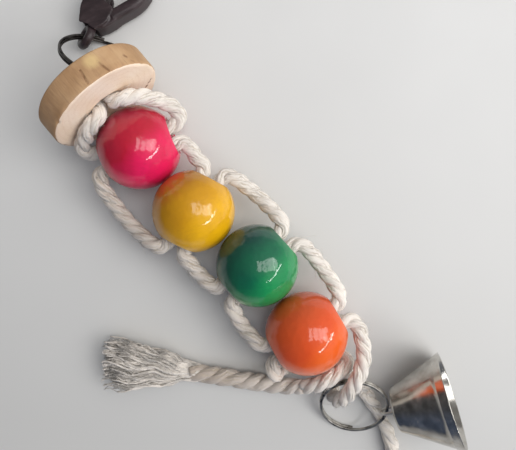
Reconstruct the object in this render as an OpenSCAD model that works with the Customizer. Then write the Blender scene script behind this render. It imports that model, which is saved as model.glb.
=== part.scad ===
// Bird toy: beads crossed on a knotted cord, with a wooden disc, a snap hook and a bell.
// Millimetres, +Z up. The toy lies on the floor, +X from the hook towards the bell.

/* [Beads] */
// Diameter of each wooden bead
bead_d = 29.8; // [27:0.1:33]
// Space between one bead and the next
bead_gap = 0.3; // [0.3:0.1:1.5]
// Width of the rounded edge at the mouths of the bead holes
bead_mouth = 1; // [0.6:0.1:1.4]

/* [Cord] */
// Diameter of the laid cord
rope_d = 5.8; // [5:0.1:6]
// Space between the two legs of the cord where they cross
leg_gap = 0.4; // [0.3:0.1:0.6]
// Clearance between the cord and the holes it runs through
cord_clear = 0.35; // [0.35:0.05:0.6]
// Diameter of the loosened long tail
tail_d = 7; // [6:0.1:7.4]
// Width of the brushed-out end of the long tail
tassel_w = 10.4; // [8:0.2:10.8]

/* [Wooden disc] */
// Diameter of the wooden disc
disc_d = 42; // [38:0.5:46]
// Thickness of the wooden disc
disc_t = 9; // [7:0.1:11]
// Width of the rounded edge of the disc
disc_edge = 0.8; // [0.3:0.1:1.5]
// Space around the cord in the disc's hole
disc_clear = 0.85; // [0.7:0.05:1.2]
// Width of the worn edge at the mouths of the disc hole
disc_mouth = 1.8; // [1.5:0.1:2.2]

/* [Split rings] */
// Radius of a split ring, to the middle of its wire
ring_r = 12.4; // [11.8:0.1:12.8]
// Width of the ring wire, seen along the ring's axis
wire_w = 1.1; // [0.8:0.05:1.3]
// Height of one turn of the ring wire
wire_h = 0.95; // [0.7:0.05:1]
// Space between the two turns
turn_gap = 0.1; // [0.06:0.02:0.15]

/* [Snap hook] */
// Thickness of the hook
hook_t = 8.2; // [7:0.1:9]
// Width of the arm and the round end
arm_w = 4.6; // [4:0.1:5.2]
// Radius of the round end, to the middle of its section
crook_r = 13; // [12.4:0.1:13.4]
// Radius of the cheeks around the gate's pin
cheek_r = 4.6; // [4.4:0.1:4.8]
// Diameter of the gate's pin
pin_d = 2; // [1.4:0.1:2.4]
// Running clearance of the hook's moving pieces
hook_clear = 0.35; // [0.3:0.05:0.5]
// Thickness of the gate's tongue between the cheeks
tongue_t = 2.8; // [2:0.1:3]
// Wire diameter of the gate's spring
spring_wire = 0.5; // [0.3:0.05:0.5]
// Radius of the swivel eye, to the middle of its section
eye_r = 3.5; // [3.45:0.05:3.7]
// Thickness of the swivel eye
eye_t = 3.2; // [2.6:0.1:3.2]
// Diameter of the swivel stem
stem_d = 2.8; // [2:0.1:3.2]

/* [Bell] */
// Diameter of the bell's mouth
bell_mouth_d = 34; // [31:0.5:36]
// Diameter of the bell's crown
bell_crown_d = 16.4; // [15:0.2:18]
// Length of the bell from the crown's edge to the mouth
bell_len = 20; // [18:0.5:22]
// Wall of the bell
bell_wall = 0.8; // [0.5:0.1:1]
// Width of the lip band
lip_band = 3.2; // [2:0.1:4]
// Diameter of the staple's wire
staple_d = 1.1; // [0.9:0.05:1.2]
// Radius of the staple's bows, to the middle of the wire
staple_r = 2.2; // [2.1:0.05:2.5]
// Diameter of the clapper's ball
ball_d = 6.6; // [5:0.1:7]
// Length of the clapper from its hinge to the middle of the ball
clapper_len = 10; // [9:0.1:10.5]

/* [Hidden] */

// Middle of the toy in the layout below, taken off so that the origin lies under it
mid = [-6.4, 0];

plastic = [0.20, 0.16, 0.17];
steel = [0.55, 0.55, 0.56];
nickel = [0.75, 0.75, 0.76];
wood = [0.85, 0.70, 0.50];
cotton = [0.92, 0.90, 0.85];

eps = 0.01;
rope_r = rope_d / 2;
leg_off = rope_r + leg_gap / 2;
bore_r = leg_off + rope_r + cord_clear;

// Beads: sideways place and turn of each one's hole
bead_y = [-13.3, -13.9, -10, -13.1];
bead_turn = [-22, 21, 0, -12];
bead_r = bead_d / 2;
pitch = bead_d + bead_gap;
first_x = -49.3;
function bead_x(i) = i == 0 ? first_x
    : bead_x(i - 1) + sqrt(pitch * pitch - pow(bead_y[i] - bead_y[i - 1], 2));
function bead_c(i) = [bead_x(i), bead_y[i], bead_r];

// Disc: middle of its front face, against the first bead
face_gap = 1;
disc_r = disc_d / 2;
face_c = [first_x - bead_r - face_gap, -11.2, disc_r];
disc_turn = -2;

// What lies on the hook's side moves with the disc's back, the knot moves with the last bead
back_shift = face_c[0] - disc_t + 74.2;
knot_shift = bead_x(3) - 40.6;
function knot_side(p) = [p[0] + knot_shift, p[1], p[2]];

// Split rings: centre, tilt and direction of the tilt; a point or direction on a ring at angle a
function ring_dir(t, a) = cos(a) * [-sin(t[1]), cos(t[1]), 0]
    - sin(a) * [cos(t[0]) * cos(t[1]), cos(t[0]) * sin(t[1]), -sin(t[0])];
function ring_pt(c, t, a) = c + ring_r * ring_dir(t, a);

// The upper ring keeps its space to the disc, the lower one its place in the knot; both lie on the floor
up_tilt = [48.4, 108.8];
up_space = 0.2155;
up_side = -2.55;
up_lift = 1.4273;
up_reach = norm([sin(up_tilt[1]), cos(up_tilt[0]) * cos(up_tilt[1])]);
up_c = [face_c[0] - disc_t - up_space - wire_w / 2 - ring_r * up_reach, up_side,
    up_lift + ring_r * sin(up_tilt[0])];
low_tilt = [27.5, -58.9];
low_lift = 1.2743;
knot_pt = knot_side([64.981, -13.8163, 0]);
low_knot = knot_pt - ring_r * ring_dir(low_tilt, 120);
low_c = [low_knot[0], low_knot[1], low_lift + ring_r * sin(low_tilt[0])];

// Hook: the eye sits on the upper ring, the hook points away from it
eye_c = ring_pt(up_c, up_tilt, 320);
hook_az = 113;
eye_roll = 40;
pivot = [-1.8, 15.2];
crook_c = [0.66, 24.65];
crook_from = -35;
crook_to = 145;
lip_to = 161;
base_round = 7;
base_mid = 0.6;
nose = crook_c + (crook_r - arm_w / 2) * [cos(crook_to), sin(crook_to)];
gate_len = norm(nose - pivot) - hook_clear;
gate_az = atan2(nose[1] - pivot[1], nose[0] - pivot[0]);
slot_z = [-2.4, 2.6];
head_d = stem_d + 2;
socket_r = eye_r + eye_t / 2 + hook_clear;

// Bell: middle of the crown's edge, direction of its axis
hang_pt = ring_pt(low_c, low_tilt, 10.5);
bell_c = [hang_pt[0] + 1.3353, hang_pt[1] + 3.2059, 9.3];
bell_az = 66.8;
bell_up = 20.2;
crown_r = bell_crown_d / 2;
mouth_r = bell_mouth_d / 2;
dome = 1.4;
band_z = bell_len - lip_band;
band_r = mouth_r - lip_band * 0.5;
bow_out = -3.54;
bow_in = 2.6;
clapper_lean = 47;

// Small helpers
function unit(v) = v / norm(v);
function flat(lists) = [for (part = lists) for (item = part) item];
function side_step(v) = unit(cross(v, abs(v[2]) < 0.9 ? [0, 0, 1] : [1, 0, 0]));
function carry(u, t) = unit(u - (u * t) * t);
function blend(a, b, c, d, t) = 0.5 * ((2 * b) + (c - a) * t + (2 * a - 5 * b + 4 * c - d) * t * t
    + (3 * b - a - 3 * c + d) * t * t * t);
function smooth(p, n) = concat([for (i = [0 : len(p) - 2]) for (k = [0 : n - 1])
    blend(p[max(i - 1, 0)], p[i], p[i + 1], p[min(i + 2, len(p) - 1)], k / n)], [p[len(p) - 1]]);

// Closed tube along the points p, with a radius for each point
module tube(p, r, sides) {
    n = len(p);
    t = [for (i = [0 : n - 1]) unit(p[min(i + 1, n - 1)] - p[max(i - 1, 0)])];
    u = [for (i = 0, v = side_step(t[0]); i < n; v = carry(v, t[min(i + 1, n - 1)]), i = i + 1) v];
    pts = [for (i = [0 : n - 1]) for (k = [0 : sides - 1])
        p[i] + r[i] * (cos(360 * k / sides) * u[i] + sin(360 * k / sides) * cross(t[i], u[i]))];
    walls = [for (i = [0 : n - 2]) for (k = [0 : sides - 1]) let (m = (k + 1) % sides)
        each [[i * sides + k, (i + 1) * sides + k, (i + 1) * sides + m],
              [i * sides + k, (i + 1) * sides + m, i * sides + m]]];
    ends = [[for (k = [0 : sides - 1]) k], [for (k = [sides - 1 : -1 : 0]) (n - 1) * sides + k]];
    polyhedron(points = pts, faces = concat(walls, ends), convexity = 10);
}

// Rounded bar section, w wide and h high
function bar_section(w, h, r) = [for (q = [[1, 1, 0], [-1, 1, 90], [-1, -1, 180], [1, -1, 270]])
    for (a = [0 : 30 : 90]) [q[0] * (w / 2 - r) + r * cos(q[2] + a), q[1] * (h / 2 - r) + r * sin(q[2] + a)]];

module place() {
    translate([-mid[0], -mid[1], 0]) children();
}

module in_hook() {
    place() translate(eye_c) rotate([0, 0, hook_az - 90]) children();
}

module in_bell() {
    place() translate(bell_c) rotate([0, 90 - bell_up, bell_az]) children();
}

module in_clapper() {
    in_bell() translate([0, 0, bow_in]) rotate([0, clapper_lean, 0]) children();
}

// The cord's path
function bead_dir(i) = [cos(90 + bead_turn[i]), sin(90 + bead_turn[i]), 0];
function bead_out(i) = [sin(90 + bead_turn[i]), -cos(90 + bead_turn[i]), 0];
function bead_pt(i, a, o, z) = bead_c(i) + a * bead_dir(i) + o * bead_out(i) + [0, 0, z];

// How far the legs stand off the bead's mouths, and how much of the hole they turn in
wrap_a = bead_r + 2.5;
wrap_o = bead_r / 2;
mouth_a = bead_r + 1.2;
mouth_o = leg_off + 0.9;
half_hole = bead_r - 2.9;

// One leg through bead i: s is 1 from the right to the left, over the other leg, else -1
function crossing(i, s) = concat([bead_pt(i, s * wrap_a, -wrap_o, 0), bead_pt(i, s * mouth_a, -mouth_o, 0)],
    [for (a = [180 : -36 : 0])
        bead_pt(i, s * half_hole * (2 * a / 180 - 1), leg_off * cos(a), s * leg_off * sin(a))],
    [bead_pt(i, -s * mouth_a, mouth_o, 0), bead_pt(i, -s * wrap_a, wrap_o, 0)]);
function rest(p) = [for (i = [1 : len(p) - 1]) p[i]];
function disc_pt(s, a, r) = face_c + s * [cos(disc_turn), sin(disc_turn), 0]
    + r * cos(a) * [-sin(disc_turn), cos(disc_turn), 0] + [0, 0, r * sin(a)];

// The cord is pressed a little thinner between the disc and the first bead
nip_c = disc_pt(2.4, 90, 4.5);
nip_depth = 0.6;
nip_reach = 9;

// The fold round the upper ring, in a plane square to its wire
fold_c = ring_pt(up_c, up_tilt, 120);
fold_t = unit(ring_pt(up_c, up_tilt, 121) - ring_pt(up_c, up_tilt, 119));
fold_u = carry(unit(fold_c - face_c + [disc_t, 0, 0]), fold_t);
fold_v = cross(fold_t, fold_u);
fold_clear = 0.8;
fold_r = rope_r + norm([wire_w, 2 * wire_h + turn_gap]) / 2 + fold_clear;
fold = [for (a = [80 : -32 : -80]) fold_c + fold_r * (cos(a) * fold_u + sin(a) * fold_v)];

left_knot = [[56.4, -27.7, 9], [58, -22.8, 12.8], [58.9, -17.8, 14.2], [59.8, -13.6, 13], [60.4, -9.8, 10.2],
    [58.6, -9.8, 6.6], [56.4, -13, 3.6], [53.5, -19, 3], [49.4, -25.6, 4], [45.6, -29.8, 8.6]];
left_top = [[-60.7, -28.3, 15.8], [-62, -27.9, 18], [-62.3, -25.2, 21], [-62.2, -20.6, 26],
    [-62.1, -17, 27.4], [-63, -14.9, 26.7]];
right_top = [[-63, -7.9, 26.2], [-61.6, -5, 27.1], [-59.2, -0.4, 24.6], [-55.7, 3.2, 21],
    [-51.4, 5.7, 17.6], [-48.4, 5.4, 15.4]];
right_knot = [[55.5, 0.4, 15.2], [59.6, -2.4, 15.8], [62.5, -6.4, 17], [64.7, -11.3, 17.6],
    [67.3, -17, 14.8], [68.6, -21.4, 9.6], [68, -22.2, 5.4], [66, -20.6, 3.2], [63.6, -17.8, 3],
    [63.4, -14, 3], [66.2, -11.6, 3], [70.8, -11.6, 3], [75.3, -12.5, 3.2]];
function backwards(p) = [for (i = [len(p) - 1 : -1 : 0]) p[i]];
function knots(p) = [for (q = p) knot_side(q)];
function tops(p) = [for (q = p) [q[0] + first_x + 49.3, q[1], q[2]]];

// The slack between one bead's hole and the next, bulging sideways by w and hanging by d
function slack(a, b, w, d) = let (p = a[len(a) - 1], q = b[0])
    [for (t = [0.25 : 0.25 : 0.75]) p + t * (q - p) + 4 * t * (1 - t) * [0, w, -d]];

left_4 = backwards(crossing(3, 1));
left_3 = backwards(crossing(2, -1));
left_2 = backwards(crossing(1, 1));
left_1 = rest(backwards(rest(crossing(0, -1))));
right_1 = rest(crossing(0, 1));
right_2 = crossing(1, -1);
right_3 = crossing(2, 1);
right_4 = crossing(3, -1);

rope_line = flat([knots(left_knot), left_4, slack(left_4, left_3, 0.6, 2), left_3,
    slack(left_3, left_2, -0.4, 1.5), left_2, left_1, tops(left_top),
    [disc_pt(0.3, 126, 5), disc_pt(-1.6, 144, 3.4), disc_pt(-5.2, 205, 3.2), disc_pt(-disc_t, 270, leg_off)],
    backwards(fold),
    [disc_pt(-disc_t, 90, leg_off), disc_pt(-5.2, 28, 3.2), disc_pt(-1.6, 36, 3.8), disc_pt(0.3, 58, 4.9)],
    tops(right_top), right_1, slack(right_1, right_2, -2.2, 3.5), right_2, slack(right_2, right_3, 0.8, 2.5),
    right_3, slack(right_3, right_4, -0.9, 2), right_4, knots(right_knot)]);

long_line = knots([[56.4, -27.7, 9], [53.4, -32.7, 5.6], [48.7, -37.6, 4], [42.7, -42.6, 3.7],
    [38.1, -46.3, 3.7], [33.5, -50, 3.7], [29.1, -53.7, 3.7], [24.3, -57.3, 3.7]]);
long_end = knots([[24.3, -57.3, 3.7], [16.8, -63.4, 4.6], [9.9, -70, 5.4], [3.4, -75.5, 5.6],
    [0, -78.9, 5.4]]);
second_line = knots([[75.3, -12.5, 3.2], [80.5, -13.1, 2.9], [86.9, -14.3, 2.3], [93.2, -16.2, 3],
    [99.5, -19.4, 3.3], [110.1, -24.95, 3.3]]);
second_end = knots([[110.1, -24.95, 3.3], [116, -28, 4.3], [122.5, -30.9, 5], [129, -32.9, 5]]);

module rope() {
    line = smooth(rope_line, 2);
    radii = [for (q = line) rope_r - nip_depth * max(0, 1 - norm(q - nip_c) / nip_reach)];
    color(cotton) place() tube(line, radii, 10);
}

module long_tail() {
    line = smooth(long_line, 2);
    color(cotton) place() tube(line, [for (i = [0 : len(line) - 1]) i < 2 ? rope_r : tail_d / 2], 12);
}

module long_tassel() {
    line = smooth(long_end, 2);
    n = len(line) - 1;
    color(cotton) place() tube(line, [for (i = [0 : n]) (tail_d + (tassel_w - tail_d) * i / n) / 2], 12);
}

module second_tail() {
    line = smooth(second_line, 2);
    // Flattened where it runs under the lower ring
    under = second_line[2];
    press = 0.8;
    reach = 7;
    radii = [for (q = line) rope_r - press * max(0, 1 - norm(q - under) / reach)];
    color(cotton) place() tube(line, radii, 10);
}

module second_tassel() {
    line = smooth(second_end, 2);
    n = len(line) - 1;
    spread = 2;
    color(cotton) place() tube(line, [for (i = [0 : n]) rope_r + spread * i / n], 10);
}

// Beads and disc
module bead(i, tint) {
    rim = sqrt(bead_r * bead_r - bore_r * bore_r);
    color(tint) place() translate(bead_c(i)) rotate([90, 0, bead_turn[i]]) difference() {
        sphere(r = bead_r, $fn = 96);
        cylinder(r = bore_r, h = bead_d + 1, center = true, $fn = 72);
        for (k = [0, 180]) {
            rotate([k, 0, 0]) translate([0, 0, rim - bead_mouth])
                cylinder(r1 = bore_r, r2 = bore_r + 2 * bead_mouth, h = 2 * bead_mouth, $fn = 72);
        }
    }
}

module bead_pink() {
    bead(0, [0.85, 0.10, 0.25]);
}

module bead_yellow() {
    bead(1, [0.88, 0.66, 0.08]);
}

module bead_green() {
    bead(2, [0.05, 0.45, 0.25]);
}

module bead_orange() {
    bead(3, [0.88, 0.33, 0.10]);
}

module wood_disc() {
    hole = leg_off + rope_r + disc_clear;
    color(wood) place() translate(face_c) rotate([0, -90, disc_turn]) difference() {
        union() {
            translate([0, 0, disc_edge]) cylinder(r = disc_r, h = disc_t - 2 * disc_edge, $fn = 144);
            cylinder(r1 = disc_r - disc_edge, r2 = disc_r, h = disc_edge, $fn = 144);
            translate([0, 0, disc_t - disc_edge])
                cylinder(r1 = disc_r, r2 = disc_r - disc_edge, h = disc_edge, $fn = 144);
        }
        translate([0, 0, -1]) cylinder(r = hole, h = disc_t + 2, $fn = 72);
        translate([0, 0, -eps]) cylinder(r1 = hole + disc_mouth, r2 = hole, h = disc_mouth, $fn = 72);
        translate([0, 0, disc_t - disc_mouth + eps])
            cylinder(r1 = hole, r2 = hole + disc_mouth, h = disc_mouth, $fn = 72);
    }
}

// Split rings
// Two turns from angle a to b, one turn climbing through the rest of the circle
module coil(c, t, a, b) {
    step = (wire_h + turn_gap) / 2;
    half = (a + 360 - b) / 2;
    lean = atan(step / (ring_r * sin(min(half, 90))));
    color(steel) place() translate(c) rotate([0, t[0], t[1]]) {
        for (z = [-step, step]) {
            translate([0, 0, z]) rotate([0, 0, a]) rotate_extrude(angle = b - a, $fn = 96)
                translate([ring_r, 0]) square([wire_w, wire_h], center = true);
        }
        rotate([0, 0, b + half]) rotate([-lean, 0, 0]) rotate([0, 0, -half])
            rotate_extrude(angle = 2 * half, $fn = 96)
                translate([ring_r, 0]) square([wire_w, wire_h], center = true);
    }
}

module upper_ring() {
    coil(up_c, up_tilt, 20, 350);
}

module lower_ring() {
    coil(low_c, low_tilt, 135, 378);
}

// Snap hook: local x across, y along the hook, z up
module cheek_shape() {
    polygon([[-3.2, 3.4], [3.3, 3.1], [5.3, 5.6], [6.8, 8.6], [7.6, 10.9], [6.2, 13.1], [4.4, 14.2],
        [2.6, 14.2], [pivot[0], pivot[1] + 1], [pivot[0] - cheek_r + 0.1, pivot[1] - 1],
        [-5.7, 11], [-4.7, 7.6]]);
    translate(pivot) circle(r = cheek_r, $fn = 64);
}

// Local frame of the gate: y from the pin towards the nose
module at_gate() {
    translate(pivot) rotate([0, 0, gate_az - 102.5]) children();
}

module hook_body() {
    arm_top = crook_c + crook_r * [cos(crook_from), sin(crook_from)];
    arm_len = 8.5;
    bar_h = hook_t - 0.4;
    color(plastic) in_hook() {
        difference() {
            intersection() {
                translate([0, 0, -hook_t / 2]) linear_extrude(hook_t) cheek_shape();
                translate([base_mid, 0, 0]) rotate([-90, 0, 0]) cylinder(r = base_round, h = 24, $fn = 96);
            }
            sphere(r = socket_r, $fn = 64);
            translate([0, 3, 0]) rotate([-90, 0, 0]) cylinder(d = stem_d + 2 * hook_clear, h = 6, $fn = 32);
            translate([0, 7.2, 0]) rotate([-90, 0, 0])
                cylinder(d = head_d + 2 * hook_clear, h = 2.4, $fn = 32);
            translate([0, 0, slot_z[0]]) linear_extrude(slot_z[1] - slot_z[0]) {
                translate(pivot) circle(r = cheek_r - 0.1, $fn = 64);
                at_gate() polygon([[-5.8, 0], [5.4, 0], [6.8, 7], [-6.8, 7]]);
            }
            translate([pivot[0], pivot[1], -hook_t]) cylinder(d = pin_d + 0.2, h = 2 * hook_t, $fn = 32);
        }
        translate([arm_top[0], arm_top[1], 0]) rotate([90, 0, crook_from]) translate([0, 0, -0.2])
            linear_extrude(arm_len) polygon(bar_section(arm_w, bar_h, 1.6));
        translate([crook_c[0], crook_c[1], 0]) rotate([0, 0, crook_from])
            rotate_extrude(angle = crook_to - crook_from, $fn = 96)
                translate([crook_r, 0]) polygon(bar_section(arm_w, bar_h, 1.6));
        translate([crook_c[0], crook_c[1], 0]) rotate([0, 0, crook_to - 2])
            rotate_extrude(angle = lip_to - crook_to + 2, $fn = 96)
                translate([crook_r + arm_w / 4, 0]) polygon(bar_section(arm_w / 2, bar_h, 0.8));
    }
}

module hook_gate() {
    tongue_z = slot_z[0] + hook_clear;
    color(plastic) in_hook() difference() {
        union() {
            translate([pivot[0], pivot[1], tongue_z]) cylinder(r = cheek_r - 0.6, h = tongue_t, $fn = 48);
            translate([0, 0, tongue_z]) linear_extrude(tongue_t)
                at_gate() polygon([[-4, 0.5], [4, 1], [3.2, 6.2], [-5.4, 6.2]]);
            intersection() {
                translate([0, 0, -hook_t / 2 + 0.3]) linear_extrude(hook_t - 0.6)
                    at_gate() polygon([[-5.2, 4.1], [1.2, 5.2], [2.6, 5.8], [-1.6, 19], [-6.2, 19],
                        [-6.2, 15]]);
                translate([pivot[0], pivot[1], -hook_t]) cylinder(r = gate_len, h = 2 * hook_t, $fn = 144);
            }
        }
        translate([pivot[0], pivot[1], -hook_t])
            cylinder(d = pin_d + 2 * hook_clear, h = 2 * hook_t, $fn = 32);
    }
}

module gate_pin() {
    pin_h = hook_t - 0.4;
    color(steel) in_hook() translate([pivot[0], pivot[1], -pin_h / 2])
        cylinder(d = pin_d, h = pin_h, $fn = 32);
}

module gate_spring() {
    coil_r = pin_d / 2 + hook_clear + spring_wire / 2 + 0.3;
    low = slot_z[0] + hook_clear + tongue_t + 0.3 + spring_wire / 2;
    high = slot_z[1] - 0.2 - spring_wire / 2;
    // One turn and a quarter, with a straight leg at each end
    coil = [for (a = [0 : 18 : 450])
        [pivot[0] + coil_r * cos(a), pivot[1] + coil_r * sin(a), low + (high - low) * a / 450]];
    line = concat([[pivot[0] + coil_r, pivot[1] - 1.6, low]], coil,
        [[pivot[0] - 1.6, pivot[1] + coil_r, high]]);
    color(steel) in_hook() tube(line, [for (q = line) spring_wire / 2], 10);
}

module swivel_eye() {
    color(plastic) in_hook() {
        rotate([0, eye_roll - 90, 0]) rotate_extrude($fn = 64)
            translate([eye_r, 0]) circle(d = eye_t, $fn = 32);
        translate([0, eye_r, 0]) rotate([-90, 0, 0]) cylinder(d = stem_d, h = 5.4, $fn = 32);
        translate([0, 7.2 + hook_clear, 0]) rotate([-90, 0, 0]) cylinder(d = head_d, h = 1.6, $fn = 32);
    }
}

// Bell: local z along the axis from the crown to the mouth, x down
module bell_shell() {
    w = bell_wall;
    color(nickel) in_bell() difference() {
        rotate_extrude($fn = 120) polygon([[0, -dome], [3, -dome + 0.05], [5.4, -dome + 0.4],
            [crown_r - 0.7, -0.4], [crown_r, 0.5], [band_r, band_z], [band_r + 0.3, band_z + 0.5],
            [mouth_r, bell_len], [mouth_r - w, bell_len], [band_r + 0.3 - w, band_z + 0.6],
            [band_r - w, band_z], [crown_r - w, 0.8], [crown_r - 1.1, w - 0.4], [5.2, w + 0.4 - dome],
            [3, w + 0.05 - dome], [0, w - dome]]);
        for (x = [-staple_r, staple_r]) {
            translate([x, 0, -dome - 1]) cylinder(d = staple_d + 0.1, h = 4, $fn = 24);
        }
    }
}

module bell_staple() {
    color(nickel) in_bell() {
        for (x = [-staple_r, staple_r]) {
            translate([x, 0, bow_out]) cylinder(d = staple_d, h = bow_in - bow_out, $fn = 24);
        }
        translate([0, 0, bow_in]) rotate([90, 0, 0]) rotate_extrude(angle = 180, $fn = 48)
            translate([staple_r, 0]) circle(d = staple_d, $fn = 24);
        translate([0, 0, bow_out]) rotate([90, 180, 0]) rotate_extrude(angle = 180, $fn = 48)
            translate([staple_r, 0]) circle(d = staple_d, $fn = 24);
    }
}

module clapper_rod() {
    loop_r = 1.35;
    rod_d = 0.8;
    color(nickel) in_clapper() {
        translate([0, 0, staple_r + 0.1]) rotate([0, 90, 0]) rotate_extrude($fn = 48)
            translate([loop_r, 0]) circle(d = rod_d, $fn = 20);
        translate([0, 0, staple_r + 0.1 + loop_r])
            cylinder(d = rod_d, h = clapper_len - staple_r - 0.1 - loop_r, $fn = 20);
    }
}

module clapper_ball() {
    color(nickel) in_clapper() translate([0, 0, clapper_len]) difference() {
        sphere(d = ball_d, $fn = 48);
        translate([0, 0, -ball_d]) cylinder(d = 0.9, h = ball_d, $fn = 20);
    }
}

hook_body();
hook_gate();
gate_pin();
gate_spring();
swivel_eye();
upper_ring();
wood_disc();
bead_pink();
bead_yellow();
bead_green();
bead_orange();
rope();
long_tail();
long_tassel();
second_tail();
second_tassel();
lower_ring();
bell_shell();
bell_staple();
clapper_rod();
clapper_ball();
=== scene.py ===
import bmesh
import bpy
import numpy as np
from mathutils import Matrix
from bpy.props import FloatProperty, FloatVectorProperty, IntProperty, PointerProperty


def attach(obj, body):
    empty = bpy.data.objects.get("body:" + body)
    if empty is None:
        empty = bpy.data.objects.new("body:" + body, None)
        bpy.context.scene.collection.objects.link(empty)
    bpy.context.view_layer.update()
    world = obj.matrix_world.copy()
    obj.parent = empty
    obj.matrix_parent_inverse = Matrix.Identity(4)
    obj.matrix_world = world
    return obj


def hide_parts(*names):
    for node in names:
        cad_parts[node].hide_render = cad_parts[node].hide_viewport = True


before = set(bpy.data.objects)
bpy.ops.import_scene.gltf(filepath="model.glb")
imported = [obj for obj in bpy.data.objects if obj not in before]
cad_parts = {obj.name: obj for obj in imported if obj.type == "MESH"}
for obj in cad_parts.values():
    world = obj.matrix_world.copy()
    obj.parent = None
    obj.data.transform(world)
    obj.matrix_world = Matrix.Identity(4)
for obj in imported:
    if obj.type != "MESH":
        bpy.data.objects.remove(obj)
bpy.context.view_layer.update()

bl_info = {
    "name": "Bird toy",
    "version": (1, 0, 0),
    "blender": (4, 5, 0),
    "location": "3D View > Sidebar > Bird toy",
    "description": "Makes the cord, beads, disc, rings, hook and bell of a hanging bird toy",
    "category": "Add Mesh",
}

MM = 0.001
# One turn in radians, as the sines of the yarns and of the year rings take it
FULL_TURN = 6.2832
BEADS = ("bead_pink", "bead_yellow", "bead_green", "bead_orange")

# Points of the cord's routes, in millimetres, as in the part's source
CORD_ROUTE = (
    (62.78, -27.7, 9), (64.38, -22.8, 12.8), (65.28, -17.8, 14.2), (66.18, -13.6, 13), (66.78, -9.8, 10.2),
    (64.98, -9.8, 6.6), (62.78, -13, 3.6), (59.88, -19, 3), (55.78, -25.6, 4), (51.98, -29.8, 8.6),
    (50.65, -31.67, 14.9), (47.55, -29.68, 14.9), (47.52, -25.48, 14.9), (47.94, -20.66, 16.72),
    (47.42, -15.65, 17.85), (46.54, -10.55, 17.85), (46.02, -5.54, 16.72), (46.44, -0.72, 14.9),
    (46.42, 3.48, 14.9), (43.31, 5.47, 14.9), (38.61, 6.4, 13.4), (33.9, 7.03, 12.9), (29.2, 7.37, 13.4),
    (24.49, 7.4, 14.9), (21.04, 6.1, 14.9), (20.14, 2, 14.9), (19.55, -2.8, 13.08), (18, -7.6, 11.95),
    (16.08, -12.4, 11.95), (14.53, -17.2, 13.08), (13.94, -22, 14.9), (13.04, -26.1, 14.9),
    (9.59, -27.4, 14.9), (7.29, -27.72, 13.78), (4.99, -27.84, 13.4), (2.69, -27.76, 13.78),
    (0.38, -27.47, 14.9), (-3.3, -27.5, 14.9), (-5.61, -23.99, 14.9), (-7.88, -19.72, 16.72),
    (-11.05, -15.8, 17.85), (-14.56, -12, 17.85), (-17.73, -8.08, 16.72), (-20, -3.81, 14.9),
    (-22.31, -0.3, 14.9), (-26, -0.33, 14.9), (-33.16, 0.13, 14.9), (-35.53, -3.34, 14.9),
    (-37.88, -7.56, 13.08), (-41.11, -11.43, 11.95), (-44.69, -15.17, 11.95), (-47.92, -19.04, 13.08),
    (-50.27, -23.26, 14.9), (-52.64, -26.73, 14.9), (-54.3, -28.3, 15.8), (-55.6, -27.9, 18),
    (-55.9, -25.2, 21), (-55.8, -20.6, 26), (-55.7, -17, 27.4), (-56.6, -14.9, 26.7),
    (-58.6, -14.15, 25.05), (-60.5, -13.89, 23), (-64.1, -13.92, 19.65), (-67.79, -10.89, 17.9),
    (-73.1, -9.25, 14.35), (-74.77, -7.17, 14.49), (-75.72, -5.13, 15.92), (-75.67, -3.74, 18.2),
    (-74.64, -3.44, 20.64), (-72.94, -4.31, 22.51), (-67.79, -10.89, 24.1), (-63.9, -8.19, 22.5),
    (-60.29, -8.07, 23.23), (-58.41, -8.62, 25.16), (-56.6, -7.9, 26.2), (-55.2, -5, 27.1),
    (-52.8, -0.4, 24.6), (-49.3, 3.2, 21), (-45, 5.7, 17.6), (-42, 5.4, 15.4), (-40.58, 3.13, 14.9),
    (-41.28, -1.01, 14.9), (-42.53, -5.68, 16.72), (-42.89, -10.72, 17.85), (-42.91, -15.88, 17.85),
    (-43.27, -20.92, 16.72), (-44.52, -25.59, 14.9), (-45.22, -29.73, 14.9), (-42.51, -32.22, 14.9),
    (-35.26, -34.02, 12.28), (-28.02, -34.72, 11.4), (-20.77, -34.32, 12.28), (-13.53, -32.81, 14.9),
    (-10.77, -30.36, 14.9), (-11.4, -26.21, 14.9), (-12.57, -21.52, 13.08), (-12.84, -16.48, 11.95),
    (-12.77, -11.32, 11.95), (-13.04, -6.28, 13.08), (-14.21, -1.59, 14.9), (-14.84, 2.56, 14.9),
    (-12.09, 5.01, 14.9), (-6.67, 6.21, 13.03), (-1.25, 7.01, 12.4), (4.17, 7.4, 13.03), (9.59, 7.4, 14.9),
    (13.04, 6.1, 14.9), (13.94, 2, 14.9), (14.53, -2.8, 16.72), (16.08, -7.6, 17.85), (18, -12.4, 17.85),
    (19.55, -17.2, 16.72), (20.14, -22, 14.9), (21.04, -26.1, 14.9), (24.49, -27.4, 14.9),
    (27.39, -28.37, 13.4), (30.28, -28.89, 12.9), (33.18, -28.95, 13.4), (36.08, -28.57, 14.9),
    (39.72, -28.02, 14.9), (41.45, -24.19, 14.9), (43.03, -19.62, 13.08), (45.54, -15.25, 11.95),
    (48.42, -10.95, 11.95), (50.93, -6.58, 13.08), (52.51, -2.01, 14.9), (54.24, 1.82, 14.9),
    (57.89, 2.37, 14.9), (61.88, 0.4, 15.2), (65.98, -2.4, 15.8), (68.88, -6.4, 17), (71.08, -11.3, 17.6),
    (73.68, -17, 14.8), (74.98, -21.4, 9.6), (74.38, -22.2, 5.4), (72.38, -20.6, 3.2), (69.98, -17.8, 3),
    (69.78, -14, 3), (72.58, -11.6, 3), (77.18, -11.6, 3), (81.68, -12.5, 3.2),
)
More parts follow.
